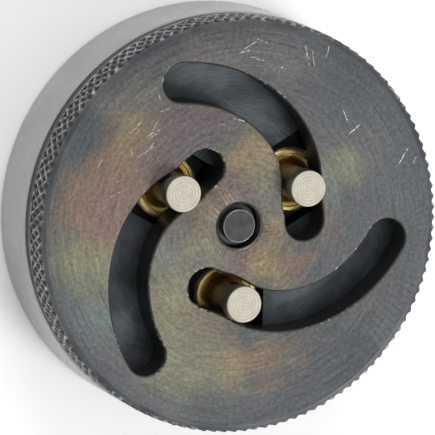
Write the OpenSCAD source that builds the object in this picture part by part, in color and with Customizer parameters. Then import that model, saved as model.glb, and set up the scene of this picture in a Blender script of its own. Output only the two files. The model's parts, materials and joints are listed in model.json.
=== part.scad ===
// Self-centring three-pin scroll driver.
// A knurled front disc with three spiral slots turns on a centre stud and moves three
// pins along the radial slots of a fixed guide plate inside a cup-shaped body.
// +Z runs along the turning axis towards the pins; the flat back lies in z = 0.

/* [Body] */
// Outside diameter of the body and of the knurled disc
outer_d = 60; // [60:0.5:61]
// Height of the cup-shaped body
body_h = 11; // [11:0.1:11.4]
// Thickness of the body's floor
floor_t = 4.2; // [3.8:0.1:4.2]
// Thickness of the body's side wall
wall_t = 1.6; // [1.4:0.1:1.6]
// Side of the square drive socket in the back
drive_w = 6.35; // [6:0.05:6.35]

/* [Scroll disc] */
// Height of the disc's knurled rim
rim_h = 6.6; // [6.4:0.1:6.8]
// Thickness of the disc where the slots cut it
disc_t = 4.8; // [4.6:0.1:4.9]
// Width of a spiral slot
slot_w = 5.7; // [5.6:0.05:5.9]
// Mean growth of a spiral slot's radius in each radian of turn
slot_rise = 7.85; // [7.8:0.05:7.9]
// Bow of a spiral slot towards the axis, which makes it look like an arc
slot_bow = 1.05; // [0:0.05:1.05]
// Turn from the pin to the outer end of its slot, in degrees
slot_sweep = 83; // [82:0.5:84]
// Turn from the pin back to the inner end of its slot, in degrees
slot_run_in = 28; // [20:1:30]
// Diameter of the counterbore round the centre stud
counterbore_d = 6.6; // [6.4:0.1:7]

/* [Guide plate] */
// Thickness of the guide plate
guide_t = 4.6; // [4.4:0.1:4.6]
// Width of a radial guide slot
guide_slot_w = 11.4; // [11.2:0.1:11.6]

/* [Jaws] */
// Distance from the axis to each pin, as set
jaw_r = 10.9; // [10.8:0.05:11.2]
// Diameter of a pin's nose
nose_d = 5.2; // [5.1:0.05:5.2]
// Height of a pin above the disc's face
pin_proud = 2.7; // [2:0.1:3]
// Outside diameter of the brass collar round each pin
collar_d = 9.5; // [9:0.1:9.6]

/* [Fasteners] */
// Diameter of the screws that hold the guide plate
screw_d = 3; // [2.5:0.1:3]
// Diameter of the dowels that locate the guide plate
dowel_d = 2.5; // [2:0.1:2.5]

/* [Hidden] */
$fn = 96;
eps = 0.5;                           // overrun of a cut past its face
outer_r = outer_d / 2;
turn_gap = 0.3;                      // gap between the body and the turning disc
slide_gap = 0.2;                     // axial clearance of each sliding part
side_gap = 0.1;                      // clearance between a slider and its slot wall

// Levels along the axis, from the back
rim_z = body_h + turn_gap;           // rear edge of the disc's rim
face_z = rim_z + rim_h;              // front face
under_z = face_z - disc_t;           // underside of the disc, round the slots
guide_top = under_z - slide_gap;     // front of the guide plate
guide_z = guide_top - guide_t;       // back of the guide plate

// Body and drive
cup_r = outer_r - wall_t;            // inside radius of the cup
hub_r = 5.8;                         // hub round the drive socket
flange_r = 4.5;                      // flange that holds the centre stud
flange_t = 1;
edge = 0.5;                          // bevel of the body's back edge
post_r = 3.5;                        // posts that carry the guide plate
post_at = 20;                        // radius of the post circle
dowel_post_r = 2.5;
dowel_at = 24.6;                     // radius of the dowel circle
dowel_depth = 2.2;                   // depth of a dowel in the guide plate

// Scroll disc
skirt_r = outer_r - 1.3;             // inside radius of the rim's skirt
rim_bevel_w = 1.05;                  // shallow bevel round the face
rim_bevel_h = 0.35;
stud_r = 2.4;
disc_bore_r = stud_r + 0.05;         // running fit on the centre stud
shoulder_z = face_z - 2.4;           // bottom of the counterbore
mouth = 0.25;                        // bevel at the counterbore's mouth
pocket_r = 5.4;                      // pocket for the wave washer
pocket_h = 0.3;

// Spiral slots: each pin moves out evenly with the turn. The track keeps within the
// pin's clearance of that path, bows towards the axis, and flattens into a short run in.
track_r = jaw_r - 0.12;              // track radius where the pin stands
bow_turn = 1.05;                     // turn that the bow spans, in radians
start_rise = slot_rise - slot_bow * bow_turn;
ease = 0.25;                         // turn over which the rise fades, in radians
slot_step = 3.5;                     // turn between two points of the outline
cap_steps = 10;                      // points round each end of a slot

// Jaws
nose_step = 0.25;                    // step from a pin's shank out to its nose
shank_r = nose_d / 2 - nose_step;
jaw_half_len = 4.6;                  // half length of a slider along its slot
neck_half_w = guide_slot_w / 2 - side_gap;
foot_half_w = neck_half_w + 1;       // the foot runs under the guide plate
foot_z = floor_t + slide_gap;
foot_top = guide_z - slide_gap;
neck_top = foot_top + 2;
spigot_r = 3.6;                      // lower part of the collar, held in the slider
spigot_z = neck_top - 1.5;
clip_recess_r = 3.6;
clip_recess_h = 1.2;
clip_r = 3.4;
clip_groove_r = 1.9;
clip_z = foot_z + 0.45;
clip_groove_h = 0.6;
clip_t = 0.5;
pin_bevel = 0.25;
collar_bevel = 0.5;

// Pieces in the counterbore round the stud
washer_z = shoulder_z + 0.03;
washer_t = 0.35;
ring_groove_z = washer_z + washer_t + 0.05;
ring_groove_h = 0.6;
ring_groove_r = 1.9;
ring_r = 3.05;
ring_t = 0.5;

// Fasteners
screw_head_r = 3;
screw_head_h = 1.5;
screw_sunk = 0.1;                    // depth of the heads below the back face
screw_top = guide_z + 3.3;
hex_r = 1.15;
hex_depth = 1.1;

// Wave washer
wave_in_r = 2.9;
wave_out_r = 5.1;
wave_t = 0.2;
wave_rise = 0.1;                     // half height of the waves
wave_steps = 48;
wave_count = 3;

function jaw_angle(n) = 30 + 120 * (n - 1);
post_angles = [for (n = [1:3]) jaw_angle(n) + 60];
dowel_angles = [post_angles[0] + 18, post_angles[2] + 18];

// Track radius, and its rate of change, at a turn of a degrees past the pin
function turn(a) = a * PI / 180;
function track(t) = t >= 0 ? track_r + start_rise * t + slot_bow * t * t
    : t > -ease ? track_r + start_rise * (t + t * t / (2 * ease))
    : track_r - start_rise * ease / 2;
function track_slope(t) = t >= 0 ? start_rise + 2 * slot_bow * t
    : t > -ease ? start_rise * (1 + t / ease) : 0;

// Unit vectors along the radius, along the track and across it
function along_r(a) = [cos(a), sin(a)];
function along_turn(a) = [-sin(a), cos(a)];
function unit(v) = v / norm(v);
function heading(a) = unit(track_slope(turn(a)) * along_r(a) + track(turn(a)) * along_turn(a));
function across(a) = [heading(a)[1], -heading(a)[0]];

// A point at the slot's edge: b = 0 is the outer wall, b = 180 the inner wall
function slot_edge(a, b) = track(turn(a)) * along_r(a)
    + slot_w / 2 * (cos(b) * across(a) + sin(b) * heading(a));

function slot_outline() = [
    for (a = [-slot_run_in:slot_step:slot_sweep]) slot_edge(a, 0),
    for (i = [0:cap_steps]) slot_edge(slot_sweep, 180 * i / cap_steps),
    for (a = [slot_sweep:-slot_step:-slot_run_in]) slot_edge(a, 180),
    for (i = [0:cap_steps]) slot_edge(-slot_run_in, 180 + 180 * i / cap_steps)];

module at(angle, r) {
    rotate([0, 0, angle]) translate([r, 0, 0]) children();
}

// A flat ring with a gap, such as a retaining ring for a groove
module open_ring(r_in, r_out, z, t, gap_angle) {
    translate([0, 0, z]) difference() {
        cylinder(r = r_out, h = t);
        translate([0, 0, -eps]) cylinder(r = r_in, h = t + 2 * eps);
        translate([0, 0, -eps]) linear_extrude(t + 2 * eps)
            polygon([[0, 0], 2 * r_out * along_r(-gap_angle / 2), 2 * r_out * along_r(gap_angle / 2)]);
    }
}

module body() {
    color("#a6a6a2") difference() {
        union() {
            rotate_extrude() polygon([[0, 0], [outer_r - edge, 0], [outer_r, edge], [outer_r, body_h],
                [cup_r, body_h], [cup_r, floor_t], [0, floor_t]]);
            cylinder(r = hub_r, h = guide_z);
            for (angle = post_angles) at(angle, post_at) cylinder(r = post_r, h = guide_z);
            for (angle = dowel_angles) at(angle, dowel_at) cylinder(r = dowel_post_r, h = guide_z);
        }
        translate([-drive_w / 2, -drive_w / 2, -eps]) cube([drive_w, drive_w, guide_z + eps]);
        translate([0, 0, guide_z - flange_t]) cylinder(r = flange_r + 0.05, h = flange_t + eps);
        for (angle = post_angles) at(angle, post_at) {
            translate([0, 0, -eps]) cylinder(r = screw_d / 2 + 0.1, h = guide_z + 2 * eps);
            translate([0, 0, -eps]) cylinder(r = screw_head_r + 0.1, h = screw_sunk + eps);
            translate([0, 0, screw_sunk])
                cylinder(r1 = screw_head_r + 0.1, r2 = screw_d / 2 + 0.1, h = screw_head_h);
        }
        for (angle = dowel_angles) at(angle, dowel_at)
            translate([0, 0, foot_z + 1]) cylinder(r = dowel_d / 2, h = guide_z);
    }
}

module guide_plate() {
    color("#4a5054") difference() {
        translate([0, 0, guide_z]) cylinder(r = cup_r - 0.05, h = guide_t);
        translate([0, 0, guide_z - eps]) cylinder(r = stud_r + 0.1, h = guide_t + 2 * eps);
        for (n = [1:3]) rotate([0, 0, jaw_angle(n)])
            translate([guide_slot_w / 2, -guide_slot_w / 2, guide_z - eps])
                cube([outer_r, guide_slot_w, guide_t + 2 * eps]);
        for (angle = post_angles) at(angle, post_at)
            translate([0, 0, guide_z - eps]) cylinder(r = screw_d / 2, h = screw_top - guide_z + eps + 0.2);
        for (angle = dowel_angles) at(angle, dowel_at)
            translate([0, 0, guide_z - eps]) cylinder(r = dowel_d / 2, h = dowel_depth + eps + 0.2);
    }
}

module plate_screws() {
    color("#3a3a3c") for (angle = post_angles) at(angle, post_at) difference() {
        rotate_extrude() polygon([[0, screw_sunk], [screw_head_r, screw_sunk],
            [screw_d / 2, screw_sunk + screw_head_h], [screw_d / 2, screw_top], [0, screw_top]]);
        translate([0, 0, screw_sunk - eps]) cylinder(r = hex_r, h = hex_depth + eps, $fn = 6);
    }
}

module plate_dowels() {
    color("#b8b8b8") for (angle = dowel_angles) at(angle, dowel_at)
        translate([0, 0, foot_z + 1]) cylinder(r = dowel_d / 2, h = guide_z + dowel_depth - foot_z - 1);
}

module scroll_disc() {
    color("#66625c") difference() {
        rotate_extrude() polygon([
            [disc_bore_r, under_z + pocket_h], [pocket_r, under_z + pocket_h], [pocket_r, under_z],
            [skirt_r, under_z], [skirt_r, rim_z], [outer_r, rim_z],
            [outer_r, face_z - rim_bevel_h], [outer_r - rim_bevel_w, face_z],
            [counterbore_d / 2 + mouth, face_z], [counterbore_d / 2, face_z - mouth],
            [counterbore_d / 2, shoulder_z], [disc_bore_r, shoulder_z]]);
        for (n = [1:3]) rotate([0, 0, jaw_angle(n)])
            translate([0, 0, under_z - eps]) linear_extrude(disc_t + 2 * eps) polygon(slot_outline());
    }
}

module centre_stud() {
    color("#4c4c50") rotate_extrude() polygon([
        [0, guide_z - flange_t], [flange_r, guide_z - flange_t], [flange_r, guide_z], [stud_r, guide_z],
        [stud_r, ring_groove_z], [ring_groove_r, ring_groove_z],
        [ring_groove_r, ring_groove_z + ring_groove_h], [stud_r, ring_groove_z + ring_groove_h],
        [stud_r, face_z - pin_bevel], [stud_r - pin_bevel, face_z], [0, face_z]]);
}

module retaining_ring() {
    color("#2c2c2e") open_ring(ring_groove_r, ring_r, ring_groove_z + 0.05, ring_t, 50);
}

module thrust_washer() {
    color("#8c8c88") translate([0, 0, washer_z]) difference() {
        cylinder(r = ring_r + 0.1, h = washer_t);
        translate([0, 0, -eps]) cylinder(r = stud_r + 0.05, h = washer_t + 2 * eps);
    }
}

// A thin ring whose height follows a sine wave, so that it springs along the axis
module wave_washer() {
    function wave_z(i) = guide_top + wave_rise * (1 + sin(360 * wave_count * i / wave_steps));
    corners = [for (i = [0:wave_steps - 1], c = [[wave_in_r, 0], [wave_out_r, 0], [wave_out_r, wave_t],
        [wave_in_r, wave_t]]) [each c[0] * along_r(360 * i / wave_steps), wave_z(i) + c[1]]];
    count = len(corners);
    sides = [for (i = [0:wave_steps - 1], k = [0:3])
        [4 * i + k, 4 * i + (k + 1) % 4, (4 * i + 4 + (k + 1) % 4) % count, (4 * i + 4 + k) % count]];
    color("#9a9a96") polyhedron(corners, sides);
}

module jaw_pin(n) {
    top = face_z + pin_proud;
    nose_z = face_z + 0.05;
    color("#d8d2c4") at(jaw_angle(n), jaw_r) rotate_extrude() polygon([
        [0, foot_z + 0.1], [shank_r, foot_z + 0.1], [shank_r, clip_z], [clip_groove_r, clip_z],
        [clip_groove_r, clip_z + clip_groove_h], [shank_r, clip_z + clip_groove_h],
        [shank_r, nose_z], [nose_d / 2, nose_z + nose_step],
        [nose_d / 2, top - pin_bevel], [nose_d / 2 - pin_bevel, top], [0, top]]);
}

module jaw_bush(n) {
    color("#b08d3c") at(jaw_angle(n), jaw_r) rotate_extrude() polygon([
        [shank_r, spigot_z], [spigot_r, spigot_z], [spigot_r, neck_top], [collar_d / 2, neck_top],
        [collar_d / 2, guide_top - collar_bevel], [collar_d / 2 - collar_bevel, guide_top],
        [shank_r, guide_top]]);
}

module jaw_slider(n) {
    color("#333436") at(jaw_angle(n), jaw_r) difference() {
        union() {
            translate([-jaw_half_len, -foot_half_w, foot_z])
                cube([2 * jaw_half_len, 2 * foot_half_w, foot_top - foot_z]);
            translate([-jaw_half_len, -neck_half_w, foot_z])
                cube([2 * jaw_half_len, 2 * neck_half_w, neck_top - foot_z]);
        }
        translate([0, 0, foot_z - eps]) cylinder(r = shank_r, h = neck_top);
        translate([0, 0, foot_z - eps]) cylinder(r = clip_recess_r, h = clip_recess_h + eps);
        translate([0, 0, spigot_z]) cylinder(r = spigot_r, h = neck_top);
    }
}

module jaw_clip(n) {
    color("#2c2c2e") at(jaw_angle(n), jaw_r)
        open_ring(clip_groove_r, clip_r, clip_z + 0.05, clip_t, 60);
}

body();
guide_plate();
plate_screws();
plate_dowels();
scroll_disc();
centre_stud();
retaining_ring();
thrust_washer();
wave_washer();
jaw_pin(1);  // jaw_1_pin
jaw_bush(1);  // jaw_1_bush
jaw_slider(1);  // jaw_1_slider
jaw_clip(1);  // jaw_1_clip
jaw_pin(2);  // jaw_2_pin
jaw_bush(2);  // jaw_2_bush
jaw_slider(2);  // jaw_2_slider
jaw_clip(2);  // jaw_2_clip
jaw_pin(3);  // jaw_3_pin
jaw_bush(3);  // jaw_3_bush
jaw_slider(3);  // jaw_3_slider
jaw_clip(3);  // jaw_3_clip
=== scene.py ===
"""Three-pin scroll driver: a knurled, heat-tinted disc with spiral slots, three pins in brass
collars, a dark guide plate and a satin steel body. Meshes are built in millimetres and set
down in metres, in the frame of the CAD model."""
import json
import math
import random

import bmesh
import bpy
from mathutils import Matrix, Quaternion, Vector


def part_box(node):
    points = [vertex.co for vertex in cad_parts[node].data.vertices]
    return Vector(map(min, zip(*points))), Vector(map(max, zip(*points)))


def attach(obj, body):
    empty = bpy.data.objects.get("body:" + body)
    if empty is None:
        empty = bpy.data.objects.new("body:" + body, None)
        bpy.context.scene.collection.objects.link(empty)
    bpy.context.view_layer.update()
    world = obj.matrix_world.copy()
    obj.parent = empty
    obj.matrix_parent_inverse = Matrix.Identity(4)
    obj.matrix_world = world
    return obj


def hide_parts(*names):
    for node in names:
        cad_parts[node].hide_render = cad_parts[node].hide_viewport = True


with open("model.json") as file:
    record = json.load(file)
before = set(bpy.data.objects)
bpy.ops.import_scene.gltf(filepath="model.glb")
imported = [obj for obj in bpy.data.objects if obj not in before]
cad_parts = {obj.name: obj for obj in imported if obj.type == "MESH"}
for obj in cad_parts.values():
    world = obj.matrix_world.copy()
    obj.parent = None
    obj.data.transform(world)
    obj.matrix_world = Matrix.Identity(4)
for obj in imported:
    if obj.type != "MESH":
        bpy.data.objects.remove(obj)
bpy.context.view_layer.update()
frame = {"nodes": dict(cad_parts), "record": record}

MM = 0.001

# ---------------------------------------------------------------- sizes, in millimetres


def limits(node):
    """A CAD node's lowest and highest corners at rest, in millimetres."""
    low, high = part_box(node)
    return low / MM, high / MM


disc_low, disc_high = limits("scroll_disc")
_, body_high = limits("body")
guide_low, guide_high = limits("guide_plate")
stud_low, stud_high = limits("centre_stud")

OUTER_R = disc_high.x
FACE_Z = disc_high.z                 # front face of the disc
RIM_Z = disc_low.z                   # rear edge of the disc's rim
BODY_Z = body_high.z                 # front edge of the body
GUIDE_TOP = guide_high.z
GUIDE_Z = guide_low.z
UNDER_Z = GUIDE_TOP + 0.2            # underside of the disc, round the slots

# Scroll disc
SKIRT_R = OUTER_R - 1.3
BORE_R = 2.45
POCKET_R = 5.4
POCKET_H = 0.3
COUNTERBORE_R = 3.3
SHOULDER_Z = FACE_Z - 2.4
MOUTH_R = 3.62
BEVEL_W = 1.05
BEVEL_H = 0.35
KNURL_H = 4.3
KNURL_DEPTH = 0.36
KNURL_COUNT = 120                    # diamonds round the rim
KNURL_ROWS = 20
KNURL_LENGTH = 2.6                   # length of a diamond along the axis
STEPS_PER_DIAMOND = 12
SHOULDER_R = OUTER_R - 0.22          # smooth band behind the knurl

# Spiral slots
SLOT_HALF_W = 2.85
SLOT_RISE = frame["record"]["behaviour"]["couplings"][0]["ratio"] / MM
SLOT_BOW = 1.05
BOW_TURN = 1.05
START_RISE = SLOT_RISE - SLOT_BOW * BOW_TURN
SLOT_SWEEP = math.radians(83)
SLOT_RUN_IN = math.radians(28)
SLOT_EASE = 0.25
SLOT_EDGE = 0.3                      # broken edge round each slot

# Body
CUP_R = OUTER_R - 1.6
FLOOR_Z = 4.2
HUB_R = 5.8
SOCKET_HALF_W = 3.175
FLANGE_R = 4.55
POST_R, POST_AT = 3.5, 20
DOWEL_POST_R, DOWEL_AT = 2.5, 24.6
SCREW_HOLE_R, SCREW_HEAD_R = 1.6, 3.1

# Pins and collars
NOSE_R, SHANK_R = 2.6, 2.35
SPIGOT_R, COLLAR_R = 3.6, 4.75
SPIGOT_H = 1.5
GROOVE_R, GROOVE_W = 1.9, 0.6        # retaining grooves of the pins and the stud
CLIP_RISE = 0.35                     # clip groove above the pin's lower end
STUD_R, STUD_FLANGE_R = 2.4, 4.5
RING_LIFT = 0.43                     # stud's groove above the disc's shoulder
DOWEL_R = 1.25
DOWEL_HOLE_Z = FLOOR_Z + 1.2

ROUND = 192                          # points round a turned surface
JAWS = (1, 2, 3)

pin_places = []
for number in JAWS:
    low, high = limits(f"jaw_{number}_pin")
    pin_places.append((low + high) / 2)
JAW_ANGLES = [math.atan2(place.y, place.x) for place in pin_places]
JAW_R = pin_places[0].xy.length
TRACK_R = JAW_R - 0.12               # slot's centre line where the pin stands
POST_ANGLES = [angle + math.pi / 3 for angle in JAW_ANGLES]
DOWEL_ANGLES = [POST_ANGLES[0] + math.radians(18), POST_ANGLES[2] + math.radians(18)]

# ---------------------------------------------------------------- mesh building


class Solid:
    """A closed mesh built from rings of points, walls between rings and flat fills."""

    def __init__(self):
        self.mesh = bmesh.new()

    def ring(self, points):
        return [self.mesh.verts.new(point) for point in points]

    def circle(self, radius, z, count=ROUND, centre=(0, 0)):
        turns = [2 * math.pi * i / count for i in range(count)]
        return self.ring([(centre[0] + radius * math.cos(t), centre[1] + radius * math.sin(t), z)
                          for t in turns])

    def wall(self, first, second, slot=0):
        for i in range(len(first)):
            j = (i + 1) % len(first)
            face = self.mesh.faces.new((first[i], first[j], second[j], second[i]))
            face.material_index = slot

    def walls(self, rings, slot=0):
        for first, second in zip(rings, rings[1:]):
            self.wall(first, second, slot)

    def turned(self, profile, count=ROUND, centre=(0, 0), slot=0):
        """Walls round an axis along a profile of (radius, height); gives its first and last ring."""
        rings = [self.circle(radius, z, count, centre) for radius, z in profile]
        self.walls(rings, slot)
        return rings[0], rings[-1]

    def fill(self, rings, slot=0):
        """A flat face inside the first ring and outside the others."""
        edges = []
        for ring in rings:
            for i in range(len(ring)):
                pair = (ring[i], ring[(i + 1) % len(ring)])
                edges.append(self.mesh.edges.get(pair) or self.mesh.edges.new(pair))
        made = bmesh.ops.triangle_fill(self.mesh, use_beauty=True, use_dissolve=False, edges=edges)
        for item in made["geom"]:
            if isinstance(item, bmesh.types.BMFace):
                item.material_index = slot

    def finish(self, name, materials, body, replaced, place=(0, 0, 0), sharp=38):
        """Turns the mesh into a piece that rides on a body and stands for CAD nodes."""
        bmesh.ops.remove_doubles(self.mesh, verts=self.mesh.verts, dist=0.0005)
        bmesh.ops.recalc_face_normals(self.mesh, faces=self.mesh.faces)
        data = bpy.data.meshes.new(name)
        self.mesh.to_mesh(data)
        self.mesh.free()
        data.transform(Matrix.Scale(MM, 4))
        for material in materials:
            data.materials.append(material)
        data.shade_smooth()
        data.set_sharp_from_angle(angle=math.radians(sharp))
        piece = bpy.data.objects.new(name, data)
        bpy.context.scene.collection.objects.link(piece)
        piece.location = Vector(place) * MM
        even = piece.modifiers.new("even_normals", "WEIGHTED_NORMAL")
        even.keep_sharp = True
        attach(piece, body)
        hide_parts(*replaced)
        return piece


def polar(radius, angle):
    return Vector((radius * math.cos(angle), radius * math.sin(angle)))


# ---------------------------------------------------------------- materials


class Shader:
    """A node material; each method adds a node and gives its output."""

    def __init__(self, name, roughness, metallic, **sockets):
        self.material = bpy.data.materials.new(name)
        self.material.use_nodes = True
        self.tree = self.material.node_tree
        self.bsdf = self.tree.nodes["Principled BSDF"]
        self.bsdf.inputs["Roughness"].default_value = roughness
        self.bsdf.inputs["Metallic"].default_value = metallic
        for key, value in sockets.items():
            self.bsdf.inputs[key.replace("_", " ")].default_value = value
        self.place = self.node("ShaderNodeTexCoord").outputs["Object"]
        self.drifted = None
        self.shaky = None

    def node(self, kind, inputs=None, **settings):
        made = self.tree.nodes.new(kind)
        for key, value in settings.items():
            setattr(made, key, value)
        for key, value in (inputs or {}).items():
            if isinstance(value, bpy.types.NodeSocket):
                self.tree.links.new(value, made.inputs[key])
            else:
                made.inputs[key].default_value = value
        return made

    def maths(self, operation, a, b=0.0, c=0.0):
        return self.node("ShaderNodeMath", {0: a, 1: b, 2: c}, operation=operation).outputs[0]

    def spread(self, value, low, high, out_low=0.0, out_high=1.0):
        """The value's range low to high, spread over out_low to out_high and held there."""
        return self.node("ShaderNodeMapRange", {"Value": value, "From Min": low, "From Max": high,
                                                "To Min": out_low, "To Max": out_high}).outputs[0]

    def mix(self, factor, first, second, blend="MIX"):
        made = self.node("ShaderNodeMix", {0: factor}, data_type="RGBA", blend_type=blend)
        for index, value in ((6, first), (7, second)):
            if isinstance(value, bpy.types.NodeSocket):
                self.tree.links.new(value, made.inputs[index])
            else:
                made.inputs[index].default_value = (*value, 1)
        return made.outputs[2]

    def shaded(self, colour, factor):
        """The colour multiplied by one factor in all three channels."""
        grey = self.node("ShaderNodeCombineXYZ", {0: factor, 1: factor, 2: factor}).outputs[0]
        return self.mix(1.0, colour, grey, "MULTIPLY")

    def noise(self, scale, detail=3.0, vector=None):
        inputs = {"Vector": vector or self.place, "Scale": scale, "Detail": detail}
        return self.node("ShaderNodeTexNoise", inputs).outputs["Fac"]

    def xyz(self):
        parts = self.node("ShaderNodeSeparateXYZ", {0: self.place}).outputs
        return parts[0], parts[1], parts[2]

    def radius(self):
        x, y, _ = self.xyz()
        return self.maths("SQRT", self.maths("ADD", self.maths("MULTIPLY", x, x),
                                             self.maths("MULTIPLY", y, y)))

    def turning(self, rings_per_m, along, detail=2.0):
        """Noise drawn out along the circles that a lathe tool leaves."""
        x, y, z = self.xyz()
        radius = self.radius()
        safe = self.maths("MAXIMUM", radius, 0.0001)
        parts = {0: self.maths("MULTIPLY", self.maths("DIVIDE", x, safe), along),
                 1: self.maths("MULTIPLY", self.maths("DIVIDE", y, safe), along),
                 2: self.maths("MULTIPLY", self.maths("ADD", radius, z), rings_per_m)}
        vector = self.node("ShaderNodeCombineXYZ", parts).outputs[0]
        return self.noise(1.0, detail, vector)

    def drift(self, scale, reach):
        """The place moved about at random by up to a reach in mm, to make outlines uneven."""
        inputs = {"Vector": self.place, "Scale": scale, "Detail": 4.0}
        colour = self.node("ShaderNodeTexNoise", inputs).outputs["Color"]
        centred = self.node("ShaderNodeVectorMath", {0: colour, 1: (0.5, 0.5, 0.5)}, operation="SUBTRACT")
        scaled = self.node("ShaderNodeVectorMath", {0: centred.outputs[0], "Scale": 2 * reach * MM},
                           operation="SCALE")
        moved = {0: self.place, 1: scaled.outputs[0]}
        return self.node("ShaderNodeVectorMath", moved, operation="ADD").outputs[0]

    def blob(self, centre, size):
        """1 at a place on the face, given in mm, falling softly to 0 at that distance."""
        if self.drifted is None:
            self.drifted = self.drift(170, 4.5)
        middle = (centre[0] * MM, centre[1] * MM, FACE_Z * MM)
        away = self.node("ShaderNodeVectorMath", {0: self.drifted, 1: middle}, operation="DISTANCE")
        point = away.outputs["Value"]
        made = self.node("ShaderNodeMapRange", {"Value": point, "From Min": 0.0,
                         "From Max": size * MM, "To Min": 1.0, "To Max": 0.0},
                         interpolation_type="SMOOTHSTEP")
        return made.outputs[0]

    def stroke(self, start, end, width):
        """1 along a scratch between two places on the face, given in mm."""
        if self.shaky is None:
            self.shaky = self.node("ShaderNodeSeparateXYZ", {0: self.drift(450, 0.3)}).outputs
        x, y = self.shaky[0], self.shaky[1]
        way = Vector(end) - Vector(start)
        length = way.length
        way.normalize()
        dx = self.maths("SUBTRACT", x, start[0] * MM)
        dy = self.maths("SUBTRACT", y, start[1] * MM)
        along = self.maths("ADD", self.maths("MULTIPLY", dx, way.x), self.maths("MULTIPLY", dy, way.y))
        across = self.maths("SUBTRACT", self.maths("MULTIPLY", dx, way.y),
                            self.maths("MULTIPLY", dy, way.x))
        middle = self.maths("ABSOLUTE", self.maths("SUBTRACT", along, length * MM / 2))
        inside = self.spread(middle, length * MM * 0.5, length * MM * 0.38)
        return self.maths("MULTIPLY", inside, self.spread(self.maths("ABSOLUTE", across),
                                                         width * MM, width * MM * 0.4))

    def bump(self, height, strength, distance):
        made = self.node("ShaderNodeBump", {"Height": height, "Strength": strength,
                                            "Distance": distance * MM})
        self.tree.links.new(made.outputs[0], self.bsdf.inputs["Normal"])

    def colour(self, socket):
        self.tree.links.new(socket, self.bsdf.inputs["Base Color"])

    def rough(self, socket):
        self.tree.links.new(socket, self.bsdf.inputs["Roughness"])


# Heat tints on the face: place in mm, reach in mm, colour, strength
TAN = (0.215, 0.165, 0.090)
BROWN = (0.185, 0.128, 0.083)
ROSE = (0.165, 0.108, 0.092)
VIOLET = (0.122, 0.094, 0.096)
OLIVE = (0.165, 0.160, 0.098)
TEAL = (0.098, 0.122, 0.118)
SLATE = (0.045, 0.058, 0.072)
ASH = (0.118, 0.116, 0.108)
TINTS = (
    ((-14, 2), 20, BROWN, 0.45),
    ((-25, 4), 9, BROWN, 0.65),
    ((-19, 10), 9, BROWN, 0.75),
    ((-16, 15), 7, TAN, 0.75),
    ((-20, 1), 8, ROSE, 0.7),
    ((-10, 12), 9, VIOLET, 0.75),
    ((-5, 16), 6, VIOLET, 0.8),
    ((-20, 6), 6, ROSE, 0.6),
    ((-25, -4), 8, OLIVE, 0.65),
    ((-20, -5), 7, OLIVE, 0.6),
    ((-16, 20), 8, ASH, 0.7),
    ((-12, -4), 6, TEAL, 0.75),
    ((-10, -11), 9, OLIVE, 0.75),
    ((-22, -12), 8, TEAL, 0.8),
    ((-10, -20), 9, OLIVE, 0.7),
    ((-3, -20), 8, OLIVE, 0.45),
    ((0, -20), 6, TAN, 0.6),
    ((5, -19), 6, BROWN, 0.6),
    ((-4, -14), 6, BROWN, 0.45),
    ((1, 10), 6, TAN, 0.8),
    ((4, 7), 5, OLIVE, 0.7),
    ((4, 11), 4, TAN, 0.6),
    ((-1, 4), 5, ROSE, 0.4),
    ((-5, 3), 5, TAN, 0.4),
    ((5, 0), 5, TAN, 0.6),
    ((4, -6), 6, TAN, 0.8),
    ((0, -5), 5, ROSE, 0.55),
    ((9, -5), 4, ROSE, 0.8),
    ((-4, -3), 5, OLIVE, 0.5),
    ((15, 8), 6, OLIVE, 0.6),
    ((13, 4), 5, TEAL, 0.6),
    ((13, 0), 5, BROWN, 0.35),
    ((-4, 24), 9, ASH, 0.5),
    ((5, 25), 8, ASH, 0.65),
    ((-8, 25), 6, ROSE, 0.25),
    ((20, 9), 7, ASH, 0.35),
    ((17, 20), 9, SLATE, 0.5),
    ((23, 8), 7, SLATE, 0.35),
    ((20, -18), 6, SLATE, 0.3),
    ((16, -21), 7, SLATE, 0.5),
    ((11, -16), 5, VIOLET, 0.25),
    ((-23, 14), 6, SLATE, 0.7),
)

# Groups of scratches: middle in mm, main heading in degrees, reach in mm, how many.
SCRATCH_GROUPS = (
    ((-15, 13), 50, 2, 8),
    ((-20, 8), 25, 3, 3),
    ((-11, 17), -30, 2, 3),
    ((-2, 16), -30, 2, 4),
    ((10, 22), 80, 3, 5),
    ((2, 26), 0, 2, 4),
    ((16, 14), 60, 2, 2),
    ((25, 8), 35, 3, 3),
)
SCRATCH_SEED = 5
HEADING_SPREAD = 22                  # degrees
HALF_LENGTHS = (0.5, 1.4)            # mm
SCRATCH_WIDTHS = (0.04, 0.10)        # mm
SCRATCH_STRENGTHS = (0.35, 0.9)


def scratch_lines():
    """Each group's strokes, scattered round its middle: start, end, width and strength."""
    dice = random.Random(SCRATCH_SEED)
    lines = []
    for middle, heading, reach, count in SCRATCH_GROUPS:
        for _ in range(count):
            turn = math.radians(dice.gauss(heading, HEADING_SPREAD))
            half = Vector((math.cos(turn), math.sin(turn))) * dice.uniform(*HALF_LENGTHS)
            shift = Vector((dice.uniform(-reach, reach), dice.uniform(-reach, reach)))
            place = Vector(middle) + shift
            width = dice.uniform(*SCRATCH_WIDTHS)
            strength = dice.uniform(*SCRATCH_STRENGTHS)
            lines.append((place - half, place + half, width, strength))
    return lines


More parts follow.
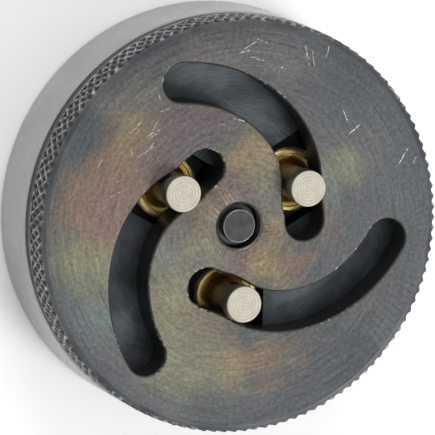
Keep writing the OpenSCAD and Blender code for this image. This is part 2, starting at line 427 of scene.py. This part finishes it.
def tinted_face():
    """Faced steel with heat tints, turning marks, scratches and specks."""
    shader = Shader("heat_tinted_face", 0.46, 0.55, Anisotropic=0.3)
    colour = shader.mix(shader.noise(90, 4), (0.060, 0.068, 0.074), (0.092, 0.094, 0.092))
    cloud = shader.spread(shader.noise(190, 5), 0.3, 0.7, 0.7, 1.45)
    for place, reach, tint, strength in TINTS:
        factor = shader.maths("MULTIPLY", shader.blob(place, reach),
                              shader.maths("MULTIPLY", cloud, strength))
        colour = shader.mix(factor, colour, tint)
    rim = shader.spread(shader.radius(), (OUTER_R - 5) * MM, (OUTER_R - 0.6) * MM)
    colour = shader.mix(shader.maths("MULTIPLY", rim, 0.55), colour, (0.048, 0.055, 0.066))
    fine = shader.turning(5200, 3.0)
    broad = shader.turning(1700, 9.0)
    marks = shader.maths("ADD", shader.maths("MULTIPLY", fine, 0.65), shader.maths("MULTIPLY", broad, 0.35))
    shade = shader.spread(marks, 0.3, 0.7, 0.66, 1.38)
    grain = shader.spread(shader.noise(1900, 4), 0.3, 0.7, 0.74, 1.26)
    colour = shader.shaded(colour, shader.maths("MULTIPLY", shade, grain))
    ragged = shader.spread(shader.noise(3200, 2), 0.36, 0.56)
    bright = None
    for start, end, width, strength in scratch_lines():
        line = shader.maths("MULTIPLY", shader.stroke(start, end, width), strength)
        bright = line if bright is None else shader.maths("MAXIMUM", bright, line)
    bright = shader.maths("MULTIPLY", bright, ragged)
    dots = shader.node("ShaderNodeTexVoronoi", {"Vector": shader.place, "Scale": 330.0}, feature="F1")
    sparse = shader.node("ShaderNodeSeparateColor", {0: dots.outputs["Color"]}).outputs[0]
    speck = shader.maths("MULTIPLY", shader.spread(dots.outputs["Distance"], 0.07, 0.03),
                         shader.maths("GREATER_THAN", sparse, 0.86))
    bright = shader.maths("MAXIMUM", bright, shader.maths("MULTIPLY", speck, 0.55))
    colour = shader.mix(bright, colour, (0.72, 0.72, 0.70))
    shader.colour(colour)
    shader.rough(shader.spread(marks, 0.3, 0.7, 0.40, 0.54))
    shader.bump(shader.maths("ADD", marks, shader.maths("MULTIPLY", bright, -0.5)), 0.25, 0.03)
    return shader.material


def worn_edge():
    """The broken edges of the slots and the hole: dark steel with bright nicks."""
    shader = Shader("worn_edge", 0.42, 0.6)
    nick = shader.maths("MULTIPLY", shader.spread(shader.noise(1300, 4), 0.55, 0.66),
                        shader.spread(shader.noise(110, 2), 0.46, 0.62))
    dull = shader.mix(shader.noise(220, 2), (0.025, 0.025, 0.026), (0.085, 0.080, 0.072))
    shader.colour(shader.mix(shader.maths("MULTIPLY", nick, 0.65), dull, (0.55, 0.54, 0.50)))
    shader.bump(shader.noise(1500, 3), 0.4, 0.05)
    return shader.material


def painted_shade_wall():
    """Milled walls of the slots and the underside of the disc: dark steel, made near black by painted
    shade.
    """
    shader = Shader("milled_steel_painted_shade", 0.42, 0.3, Specular_IOR_Level=0.3)
    # Painted shade: the near-black colour stands in for the shade inside the slots, on top of the steel's
    # own dark tone
    colour = shader.mix(shader.noise(400, 4), (0.008, 0.008, 0.009), (0.024, 0.023, 0.022))
    shader.colour(colour)
    x, y, z = shader.xyz()
    layers = shader.node("ShaderNodeCombineXYZ", {0: shader.maths("MULTIPLY", x, 200.0),
                         1: shader.maths("MULTIPLY", y, 200.0), 2: shader.maths("MULTIPLY", z, 4000.0)})
    shader.bump(shader.noise(1.0, 2, layers.outputs[0]), 0.3, 0.03)
    return shader.material


def worn_bevel():
    """The shallow bevel round the face: blue-grey, nicked bright where the knurl cuts it."""
    shader = Shader("worn_bevel", 0.45, 0.45)
    base = shader.mix(shader.spread(shader.noise(170, 4), 0.35, 0.65), (0.040, 0.045, 0.055),
                      (0.085, 0.085, 0.088))
    outer = shader.spread(shader.radius(), (OUTER_R - 0.55) * MM, (OUTER_R - 0.05) * MM)
    patchy = shader.spread(shader.noise(160, 3), 0.42, 0.62, 0.15, 0.9)
    nick = shader.maths("MULTIPLY", shader.spread(shader.noise(1500, 3), 0.46, 0.60),
                        shader.maths("MULTIPLY", outer, patchy))
    shader.colour(shader.mix(nick, base, (0.55, 0.55, 0.53)))
    shader.bump(shader.noise(1800, 3), 0.3, 0.03)
    return shader.material


def knurled_rim():
    """The knurl: near black in its pits as painted shade, with bright worn crests."""
    shader = Shader("knurled_rim", 0.42, 0.25, Specular_IOR_Level=0.3)
    radius = shader.radius()
    crest = shader.spread(radius, (OUTER_R - 0.13) * MM, (OUTER_R - 0.01) * MM)
    worn = shader.maths("MULTIPLY", crest, shader.spread(shader.noise(1150, 4), 0.42, 0.60, 0.05, 1.1))
    base = shader.mix(shader.noise(140, 3), (0.022, 0.024, 0.028), (0.048, 0.046, 0.046))
    # Painted shade: the colour goes near black down in the pits of the knurl
    painted_pit_shade = shader.spread(radius, (OUTER_R - KNURL_DEPTH) * MM, (OUTER_R - 0.15) * MM)
    base = shader.mix(painted_pit_shade, (0.003, 0.003, 0.004), base)
    shader.colour(shader.mix(worn, base, (0.34, 0.34, 0.33)))
    shader.bump(shader.noise(1800, 3), 0.3, 0.04)
    return shader.material


def rim_band():
    """The smooth dark band behind the knurl and the rim's rear edge."""
    shader = Shader("rim_band", 0.42, 0.1, Specular_IOR_Level=0.2)
    base = shader.mix(shader.noise(120, 3), (0.020, 0.020, 0.027), (0.060, 0.055, 0.056))
    streak = shader.spread(shader.turning(7000, 3.0), 0.35, 0.65, 0.8, 1.2)
    shader.colour(shader.shaded(base, streak))
    shader.bump(shader.turning(9000, 3.0), 0.2, 0.02)
    return shader.material


def satin_body():
    """Ground steel with fine circular marks and faint warm stains."""
    shader = Shader("satin_steel_body", 0.36, 0.85, Anisotropic=0.35)
    base = shader.mix(shader.spread(shader.noise(45, 3), 0.35, 0.65), (0.35, 0.35, 0.34),
                      (0.44, 0.435, 0.425))
    stain = shader.maths("MULTIPLY", shader.spread(shader.noise(70, 5), 0.5, 0.75), 0.35)
    base = shader.mix(stain, base, (0.33, 0.30, 0.27))
    streak = shader.spread(shader.turning(8000, 2.5, 3.0), 0.3, 0.7, 0.9, 1.1)
    shader.colour(shader.shaded(base, streak))
    shader.rough(shader.spread(shader.noise(600, 3), 0.3, 0.7, 0.32, 0.44))
    shader.bump(shader.turning(9000, 3.0, 3.0), 0.25, 0.02)
    return shader.material


def guide_steel():
    """Dark blue-grey faced plate with turning marks and long scratches."""
    shader = Shader("guide_plate_steel", 0.38, 0.75)
    base = shader.mix(shader.spread(shader.noise(150, 4), 0.35, 0.65), (0.028, 0.034, 0.038),
                      (0.075, 0.088, 0.096))
    marks = shader.spread(shader.turning(3500, 8.0), 0.3, 0.7, 0.8, 1.2)
    base = shader.shaded(base, marks)
    x, y, _ = shader.xyz()
    slanted = shader.node("ShaderNodeCombineXYZ", {
        0: shader.maths("MULTIPLY", shader.maths("ADD", x, y), 2600.0),
        1: shader.maths("MULTIPLY", shader.maths("SUBTRACT", x, y), 90.0), 2: 0.0}).outputs[0]
    scratch = shader.spread(shader.noise(1.0, 3, slanted), 0.66, 0.74, 0.0, 0.5)
    shader.colour(shader.mix(scratch, base, (0.16, 0.17, 0.17)))
    shader.bump(shader.turning(3500, 8.0), 0.2, 0.03)
    return shader.material


def pin_end():
    """Bright turned end face."""
    shader = Shader("turned_pin_end", 0.55, 0.25)
    base = shader.mix(shader.noise(700, 4), (0.40, 0.37, 0.30), (0.53, 0.50, 0.415))
    rings = shader.maths("SINE", shader.maths("MULTIPLY", shader.radius(), 2 * math.pi / (0.46 * MM)))
    wander = shader.spread(shader.turning(2600, 2.0), 0.35, 0.65, -0.07, 0.07)
    marks = shader.maths("ADD", shader.spread(rings, -1.0, 0.2, 0.86, 1.03), wander)
    shader.colour(shader.shaded(base, marks))
    shader.bump(shader.turning(5000, 2.0), 0.4, 0.03)
    return shader.material


def pin_side():
    """Grey-brown ground side of a pin."""
    shader = Shader("pin_side_steel", 0.34, 0.9)
    base = shader.mix(shader.noise(260, 4), (0.23, 0.205, 0.17), (0.38, 0.345, 0.29))
    shader.colour(base)
    shader.bump(shader.turning(7000, 1.0), 0.25, 0.02)
    return shader.material


def turned_brass():
    """Brass with turning marks, dulled in patches, with painted shade inside the dish and a painted
    highlight on the lip.
    """
    shader = Shader("turned_brass", 0.30, 0.9)
    patch = shader.spread(shader.noise(330, 4), 0.35, 0.7)
    base = shader.mix(patch, (0.62, 0.46, 0.15), (0.40, 0.27, 0.07))
    # Painted shade: the brass darkens to brown down in the dish, round the pin
    dish_painted_shade = shader.spread(shader.radius(), (SHANK_R + 0.3) * MM, (COLLAR_R - 1.2) * MM)
    base = shader.mix(dish_painted_shade, (0.34, 0.16, 0.035), base)
    # Painted highlight: the lip round the collar's edge is painted pale
    lip = shader.spread(shader.radius(), (COLLAR_R - 0.65) * MM, (COLLAR_R - 0.2) * MM)
    base = shader.mix(shader.maths("MULTIPLY", lip, 0.75), base, (0.60, 0.54, 0.36))
    marks = shader.spread(shader.turning(4200, 2.0), 0.35, 0.65, 0.8, 1.15)
    shader.colour(shader.shaded(base, marks))
    shader.rough(shader.spread(shader.noise(900, 3), 0.3, 0.7, 0.22, 0.40))
    shader.bump(shader.turning(4200, 2.0), 0.35, 0.03)
    return shader.material


def plain_steel(name, dark, light, roughness, metallic, grain=500):
    """A dull steel with grain and a faint surface texture."""
    shader = Shader(name, roughness, metallic)
    shader.colour(shader.mix(shader.spread(shader.noise(grain, 4), 0.3, 0.7), dark, light))
    shader.bump(shader.noise(grain * 4, 3), 0.25, 0.03)
    return shader.material


# ---------------------------------------------------------------- pieces


def track(turn):
    """Radius of a slot's centre line, and its growth, at a turn past the pin."""
    if turn >= 0:
        return TRACK_R + START_RISE * turn + SLOT_BOW * turn ** 2, START_RISE + 2 * SLOT_BOW * turn
    if turn > -SLOT_EASE:
        eased = turn + turn ** 2 / (2 * SLOT_EASE)
        return TRACK_R + START_RISE * eased, START_RISE * (1 + turn / SLOT_EASE)
    return TRACK_R - START_RISE * SLOT_EASE / 2, 0.0


def slot_edge(turn, side, angle, half_w):
    """A point at the slot's edge; side 0 is its outer wall and side pi its inner wall."""
    radius, growth = track(turn)
    heading = (polar(growth, angle + turn) + polar(radius, angle + turn + math.pi / 2)).normalized()
    across = Vector((heading.y, -heading.x))
    return polar(radius, angle + turn) + half_w * (math.cos(side) * across + math.sin(side) * heading)


def slot_outline(angle, half_w, z, steps=60, cap_steps=18):
    """The slot's closed outline at one height, out along one wall and back along the other."""
    span = SLOT_SWEEP + SLOT_RUN_IN
    turns = [-SLOT_RUN_IN + span * i / steps for i in range(steps + 1)]
    caps = [math.pi * i / cap_steps for i in range(1, cap_steps)]
    points = [slot_edge(turn, 0, angle, half_w) for turn in turns]
    points += [slot_edge(SLOT_SWEEP, side, angle, half_w) for side in caps]
    points += [slot_edge(turn, math.pi, angle, half_w) for turn in reversed(turns)]
    points += [slot_edge(-SLOT_RUN_IN, math.pi + side, angle, half_w) for side in caps]
    return [(point.x, point.y, z) for point in points]


def knurl_height(turn, depth_below):
    """Height of the crossing ridges, 0 in the pits and 1 on the crests."""
    across = KNURL_COUNT * turn / (2 * math.pi)
    along = depth_below / KNURL_LENGTH
    ridge = 0
    for place in (across + along, across - along):
        away = abs(place - round(place)) * 2
        ridge = max(ridge, 1 - min(1, max(0, away - 0.10) / 0.62))
    return ridge


def make_disc(face, edge, dark, knurl, band, bevel, chamfer):
    """The disc: slots, knurled rim, bevel, stepped centre hole and skirt."""
    solid = Solid()
    count = KNURL_COUNT * STEPS_PER_DIAMOND
    turns = [2 * math.pi * i / count for i in range(count)]
    face_ring = solid.circle(OUTER_R - BEVEL_W, FACE_Z, count)
    lip_z = FACE_Z - BEVEL_H
    # The knurl cuts into the bevel, so the bevel's outer edge is scalloped
    lip = []
    for turn in turns:
        dip = KNURL_DEPTH * (1 - knurl_height(turn, 0))
        lip.append((*polar(OUTER_R - dip, turn), lip_z + dip * BEVEL_H / BEVEL_W))
    rings = [solid.ring(lip)]
    solid.walls([face_ring, solid.circle(OUTER_R - BEVEL_W + 0.15, FACE_Z - 0.02, count),
                 solid.circle(OUTER_R - 0.45, FACE_Z - 0.19, count), rings[0]], 5)
    for row in range(1, KNURL_ROWS + 1):
        below = KNURL_H * row / KNURL_ROWS
        fading = min(1, (KNURL_ROWS - row) / 2)
        points = []
        for turn in turns:
            dip = KNURL_DEPTH * (1 - knurl_height(turn, below)) * fading
            points.append((*polar(OUTER_R - dip, turn), lip_z - below))
        rings.append(solid.ring(points))
    solid.walls(rings, 3)
    knurl_end = lip_z - KNURL_H
    outer = [rings[-1]]
    for radius, z in ((OUTER_R - 0.02, knurl_end - 0.05), (SHOULDER_R, knurl_end - 0.22),
                      (SHOULDER_R, RIM_Z + 0.25), (SHOULDER_R - 0.08, RIM_Z + 0.07),
                      (SHOULDER_R - 0.25, RIM_Z), (SKIRT_R, RIM_Z), (SKIRT_R, UNDER_Z)):
        outer.append(solid.circle(radius, z, count))
    solid.walls(outer, 4)
    openings_top, openings_under = [], []
    for angle in JAW_ANGLES:
        outlines = [(SLOT_EDGE, FACE_Z), (SLOT_EDGE * 0.55, FACE_Z - 0.06),
                    (SLOT_EDGE * 0.2, FACE_Z - 0.18), (0, FACE_Z - 0.42)]
        top = [solid.ring(slot_outline(angle, SLOT_HALF_W + extra, z)) for extra, z in outlines]
        solid.walls(top, 1)
        # Slot 2, the wall steel, is near black as painted shade for the slot walls and the underside
        bottom = [top[-1], solid.ring(slot_outline(angle, SLOT_HALF_W, UNDER_Z + 0.2)),
                  solid.ring(slot_outline(angle, SLOT_HALF_W + 0.15, UNDER_Z))]
        solid.walls(bottom, 2)
        openings_top.append(top[0])
        openings_under.append(bottom[-1])
    hole_top, _ = solid.turned([(MOUTH_R, FACE_Z), (MOUTH_R - 0.1, FACE_Z - 0.06)], 96, slot=1)
    solid.turned([(MOUTH_R - 0.1, FACE_Z - 0.06), (COUNTERBORE_R, FACE_Z - 0.34)], 96, slot=6)
    _, pocket = solid.turned([(COUNTERBORE_R, FACE_Z - 0.34), (COUNTERBORE_R, SHOULDER_Z),
                              (BORE_R, SHOULDER_Z), (BORE_R, UNDER_Z + POCKET_H),
                              (POCKET_R, UNDER_Z + POCKET_H), (POCKET_R, UNDER_Z)], 96, slot=2)
    solid.fill([face_ring, hole_top] + openings_top, 0)
    solid.fill([outer[-1], pocket] + openings_under, 2)
    materials = [face, edge, dark, knurl, band, bevel, chamfer]
    return solid.finish("scroll_disc_detailed", materials, "scroll", ["scroll_disc"])


def square_outline(half_w, z, corner=0.4):
    """A square with slightly rounded corners."""
    points = []
    for quarter in range(4):
        turn = quarter * math.pi / 2
        middle = Vector((half_w - corner, half_w - corner)).to_3d()
        middle.rotate(Matrix.Rotation(turn, 3, "Z").to_quaternion())
        for part in range(5):
            tip = polar(corner, turn + part * math.pi / 8)
            points.append((middle.x + tip.x, middle.y + tip.y, z))
    return points


def make_body(satin, dark):
    """The cup, with its hub, square socket, screw posts and dowel posts."""
    solid = Solid()
    back, floor = solid.turned([
        (OUTER_R - 0.9, 0), (OUTER_R - 0.5, 0.05), (OUTER_R - 0.2, 0.2), (OUTER_R - 0.05, 0.5),
        (OUTER_R, 0.9), (OUTER_R, BODY_Z - 0.3), (OUTER_R - 0.08, BODY_Z - 0.08),
        (OUTER_R - 0.3, BODY_Z), (CUP_R + 0.2, BODY_Z), (CUP_R, BODY_Z - 0.2), (CUP_R, FLOOR_Z)])
    socket_top = GUIDE_Z - 1
    socket = [solid.ring(square_outline(SOCKET_HALF_W + 0.45, 0, 0.6)),
              solid.ring(square_outline(SOCKET_HALF_W, 0.45)),
              solid.ring(square_outline(SOCKET_HALF_W, socket_top))]
    solid.walls(socket[:2])
    solid.walls(socket[1:], 1)
    seat, hub = solid.turned([(FLANGE_R, socket_top), (FLANGE_R, GUIDE_Z), (HUB_R, GUIDE_Z),
                              (HUB_R, FLOOR_Z)], 64, slot=1)
    solid.fill([seat, socket[-1]], 1)
    back_holes, floor_holes = [socket[0]], [hub]
    for angle in POST_ANGLES:
        mouth, foot = solid.turned([
            (SCREW_HEAD_R + 0.15, 0), (SCREW_HEAD_R, 0.12), (SCREW_HOLE_R, 1.6), (SCREW_HOLE_R, GUIDE_Z),
            (POST_R, GUIDE_Z), (POST_R, FLOOR_Z)], 48, polar(POST_AT, angle))
        back_holes.append(mouth)
        floor_holes.append(foot)
    for angle in DOWEL_ANGLES:
        centre = polar(DOWEL_AT, angle)
        end, foot = solid.turned([(DOWEL_R, DOWEL_HOLE_Z), (DOWEL_R, GUIDE_Z), (DOWEL_POST_R, GUIDE_Z),
                                  (DOWEL_POST_R, FLOOR_Z)], 32, centre)
        solid.fill([end])
        floor_holes.append(foot)
    solid.fill([back] + back_holes)
    solid.fill([floor] + floor_holes, 1)
    return solid.finish("body_detailed", [satin, dark], "body", ["body"])


def make_stud(end, dark):
    """The flanged stud that the disc turns on."""
    solid = Solid()
    low, high = stud_low.z, stud_high.z
    groove_z = SHOULDER_Z + RING_LIFT
    foot, _ = solid.turned([
        (4.3, low), (STUD_FLANGE_R, low + 0.2), (STUD_FLANGE_R, GUIDE_Z), (STUD_R, GUIDE_Z),
        (STUD_R, groove_z), (GROOVE_R, groove_z), (GROOVE_R, groove_z + GROOVE_W),
        (STUD_R, groove_z + GROOVE_W), (STUD_R, high - 0.16)], 96, slot=0)
    solid.turned([(STUD_R, high - 0.16), (2.36, high - 0.06), (2.26, high - 0.005)], 96, slot=1)
    _, top = solid.turned([(2.26, high - 0.005), (2.2, high), (1.2, high - 0.015), (0.4, high)], 96)
    solid.fill([foot])
    solid.fill([top])
    return solid.finish("centre_stud_detailed", [dark, end], "body", ["centre_stud"])


def make_pin(number, end, side):
    """One stepped pin, grooved for its clip, with a rippled turned end."""
    solid = Solid()
    low, high = (corner.z for corner in limits(f"jaw_{number}_pin"))
    nose_z = FACE_Z + 0.05
    clip_z = low + CLIP_RISE
    foot, _ = solid.turned([
        (SHANK_R - 0.2, low), (SHANK_R, low + 0.2), (SHANK_R, clip_z), (GROOVE_R, clip_z),
        (GROOVE_R, clip_z + GROOVE_W), (SHANK_R, clip_z + GROOVE_W), (SHANK_R, nose_z),
        (NOSE_R, nose_z + 0.25), (NOSE_R, high - 0.2)], 96, slot=0)
    ripple = [(2.2 - 0.2 * i, high - 0.02 * (i % 2)) for i in range(11)]
    _, middle = solid.turned([(NOSE_R, high - 0.2), (NOSE_R - 0.04, high - 0.08),
                              (NOSE_R - 0.12, high - 0.02), (NOSE_R - 0.24, high)] + ripple, 96, slot=1)
    solid.fill([foot])
    solid.fill([middle], 1)
    place = pin_places[number - 1]
    return solid.finish(f"jaw_{number}_pin_detailed", [side, end], f"jaw_{number}", [f"jaw_{number}_pin"],
                        (place.x, place.y, 0))


def make_bush(number, brass):
    """One brass collar with its dished face and its lip, the lip painted pale as a highlight."""
    solid = Solid()
    low, high = (corner.z for corner in limits(f"jaw_{number}_bush"))
    seat = low + SPIGOT_H
    profile = [
        (SHANK_R, low), (SPIGOT_R - 0.2, low), (SPIGOT_R, low + 0.2), (SPIGOT_R, seat),
        (COLLAR_R - 0.15, seat), (COLLAR_R, seat + 0.15), (COLLAR_R, high - 0.4),
        (COLLAR_R - 0.34, high - 0.03), (COLLAR_R - 0.4, high),
        (COLLAR_R - 0.86, high), (COLLAR_R - 0.9, high - 0.03), (COLLAR_R - 0.96, high - 0.2),
        (COLLAR_R - 1.02, high - 0.22), (COLLAR_R - 1.45, high - 0.24), (COLLAR_R - 1.55, high - 0.3),
        (SHANK_R + 0.12, high - 1.0), (SHANK_R, high - 1.05)]
    rings = [solid.circle(radius, z, 128) for radius, z in profile]
    solid.walls(rings)
    solid.wall(rings[-1], rings[0])
    place = pin_places[number - 1]
    return solid.finish(f"jaw_{number}_bush_detailed", [brass], f"jaw_{number}", [f"jaw_{number}_bush"],
                        (place.x, place.y, 0), sharp=30)


def dress_node(name, material, bevel):
    """Gives a CAD node its material, broken edges and even shading."""
    piece = frame["nodes"][name]
    data = piece.data
    data.materials.clear()
    data.materials.append(material)
    for polygon in data.polygons:
        polygon.material_index = 0
    data.shade_smooth()
    weld = piece.modifiers.new("weld", "WELD")
    weld.merge_threshold = 0.000002
    if bevel:
        edges = piece.modifiers.new("broken_edges", "BEVEL")
        edges.width = bevel * MM
        edges.segments = 2
        edges.limit_method = "ANGLE"
        edges.angle_limit = math.radians(40)
        edges.harden_normals = False
    even = piece.modifiers.new("even_normals", "WEIGHTED_NORMAL")
    even.keep_sharp = False


# ---------------------------------------------------------------- scene


LENS_MM, SENSOR_MM = 571, 36
VIEW_TURNS = (-116.88, 67.65, 116.16)      # azimuth, elevation and roll, in degrees
VIEW_DISTANCE = 981                        # mm from the aim
VIEW_AIM = Vector((-3.34, 1.40, FACE_Z))
FLOOR_HALF_W = 3.0                         # in metres
WORLD_STRENGTH = 0.85


def make_camera():
    """A long lens high over one side of the rim, turned so that the tool lies as it is held."""
    lens = bpy.data.cameras.new("view_camera")
    lens.lens = LENS_MM
    lens.sensor_width = SENSOR_MM
    lens.clip_start, lens.clip_end = 0.05, 20
    azimuth, elevation, roll = (math.radians(turn) for turn in VIEW_TURNS)
    back = Vector((math.sin(azimuth) * math.cos(elevation), -math.cos(azimuth) * math.cos(elevation),
                   math.sin(elevation)))
    camera = bpy.data.objects.new("view_camera", lens)
    bpy.context.scene.collection.objects.link(camera)
    camera.rotation_mode = "QUATERNION"
    camera.location = (VIEW_AIM + back * VIEW_DISTANCE) * MM
    camera.rotation_quaternion = (-back).to_track_quat("-Z", "Y") @ Quaternion((0, 0, 1), roll)
    bpy.context.scene.camera = camera


def make_floor():
    """A plain pale floor under the flat back."""
    size = FLOOR_HALF_W
    data = bpy.data.meshes.new("floor")
    corners = [(-size, -size, 0), (size, -size, 0), (size, size, 0), (-size, size, 0)]
    data.from_pydata(corners, [], [(0, 1, 2, 3)])
    shader = Shader("pale_floor", 0.9, 0.0)
    shader.colour(shader.mix(shader.noise(3, 2), (0.93, 0.93, 0.93), (0.96, 0.96, 0.96)))
    data.materials.append(shader.material)
    floor = bpy.data.objects.new("floor", data)
    bpy.context.scene.collection.objects.link(floor)


def make_light(name, place, size, power):
    """A round lamp at a place in metres, turned to the origin; power in watts."""
    lamp = bpy.data.lights.new(name, "AREA")
    lamp.shape = "DISK"
    lamp.size = size
    lamp.energy = power
    holder = bpy.data.objects.new(name, lamp)
    bpy.context.scene.collection.objects.link(holder)
    holder.location = place
    holder.rotation_mode = "QUATERNION"
    holder.rotation_quaternion = (-Vector(place)).to_track_quat("-Z", "Y")


def make_world():
    """Soft studio surroundings: bright above, a little darker at the sides and below."""
    world = bpy.data.worlds.new("studio")
    bpy.context.scene.world = world
    world.use_nodes = True
    tree = world.node_tree
    background = tree.nodes["Background"]
    place = tree.nodes.new("ShaderNodeTexCoord")
    parts = tree.nodes.new("ShaderNodeSeparateXYZ")
    ramp = tree.nodes.new("ShaderNodeValToRGB")
    ramp.color_ramp.elements[0].position = 0.0
    ramp.color_ramp.elements[0].color = (0.70, 0.71, 0.72, 1)
    ramp.color_ramp.elements[1].position = 0.9
    ramp.color_ramp.elements[1].color = (1.0, 1.0, 1.0, 1)
    tree.links.new(place.outputs["Generated"], parts.inputs[0])
    tree.links.new(parts.outputs[2], ramp.inputs[0])
    tree.links.new(ramp.outputs[0], background.inputs[0])
    background.inputs["Strength"].default_value = WORLD_STRENGTH


make_camera()
make_world()
make_floor()
make_light("key_light", (0.6, -0.5, 0.8), 0.4, 5.5)
make_light("fill_light", (0.0, 0.9, 0.6), 0.7, 4.0)
bpy.context.scene.view_settings.view_transform = "Standard"

edge_steel = worn_edge()
# The wall steel carries painted shade: near black for the shade inside the slots
shaded_wall_steel = painted_shade_wall()
band_steel = rim_band()
brass = turned_brass()
pin_end_steel = pin_end()
pin_side_steel = pin_side()
black_oxide = plain_steel("black_oxide", (0.010, 0.010, 0.011), (0.028, 0.028, 0.030), 0.45, 0.6)
spring_steel = plain_steel("spring_steel", (0.03, 0.03, 0.032), (0.08, 0.08, 0.085), 0.4, 0.8)
ground_steel = plain_steel("ground_steel", (0.36, 0.36, 0.35), (0.52, 0.52, 0.51), 0.32, 0.95)
stud_steel = plain_steel("stud_steel", (0.022, 0.022, 0.023), (0.050, 0.050, 0.053), 0.5, 0.3, 900)
chamfer_steel = plain_steel("chamfer_steel", (0.10, 0.09, 0.075), (0.28, 0.25, 0.21), 0.32, 0.75)
bright_edge = plain_steel("bright_edge", (0.16, 0.16, 0.16), (0.42, 0.42, 0.41), 0.35, 0.6)

make_disc(tinted_face(), edge_steel, shaded_wall_steel, knurled_rim(), band_steel, worn_bevel(),
          chamfer_steel)
make_body(satin_body(), ground_steel)
make_stud(bright_edge, stud_steel)
for number in JAWS:
    make_pin(number, pin_end_steel, pin_side_steel)
    make_bush(number, brass)
    dress_node(f"jaw_{number}_slider", black_oxide, 0.15)
    dress_node(f"jaw_{number}_clip", spring_steel, 0.06)
dress_node("guide_plate", guide_steel(), 0.15)
dress_node("plate_screws", black_oxide, 0.1)
dress_node("plate_dowels", ground_steel, 0.12)
dress_node("retaining_ring", spring_steel, 0.06)
dress_node("thrust_washer", ground_steel, 0.05)
dress_node("wave_washer", ground_steel, 0)
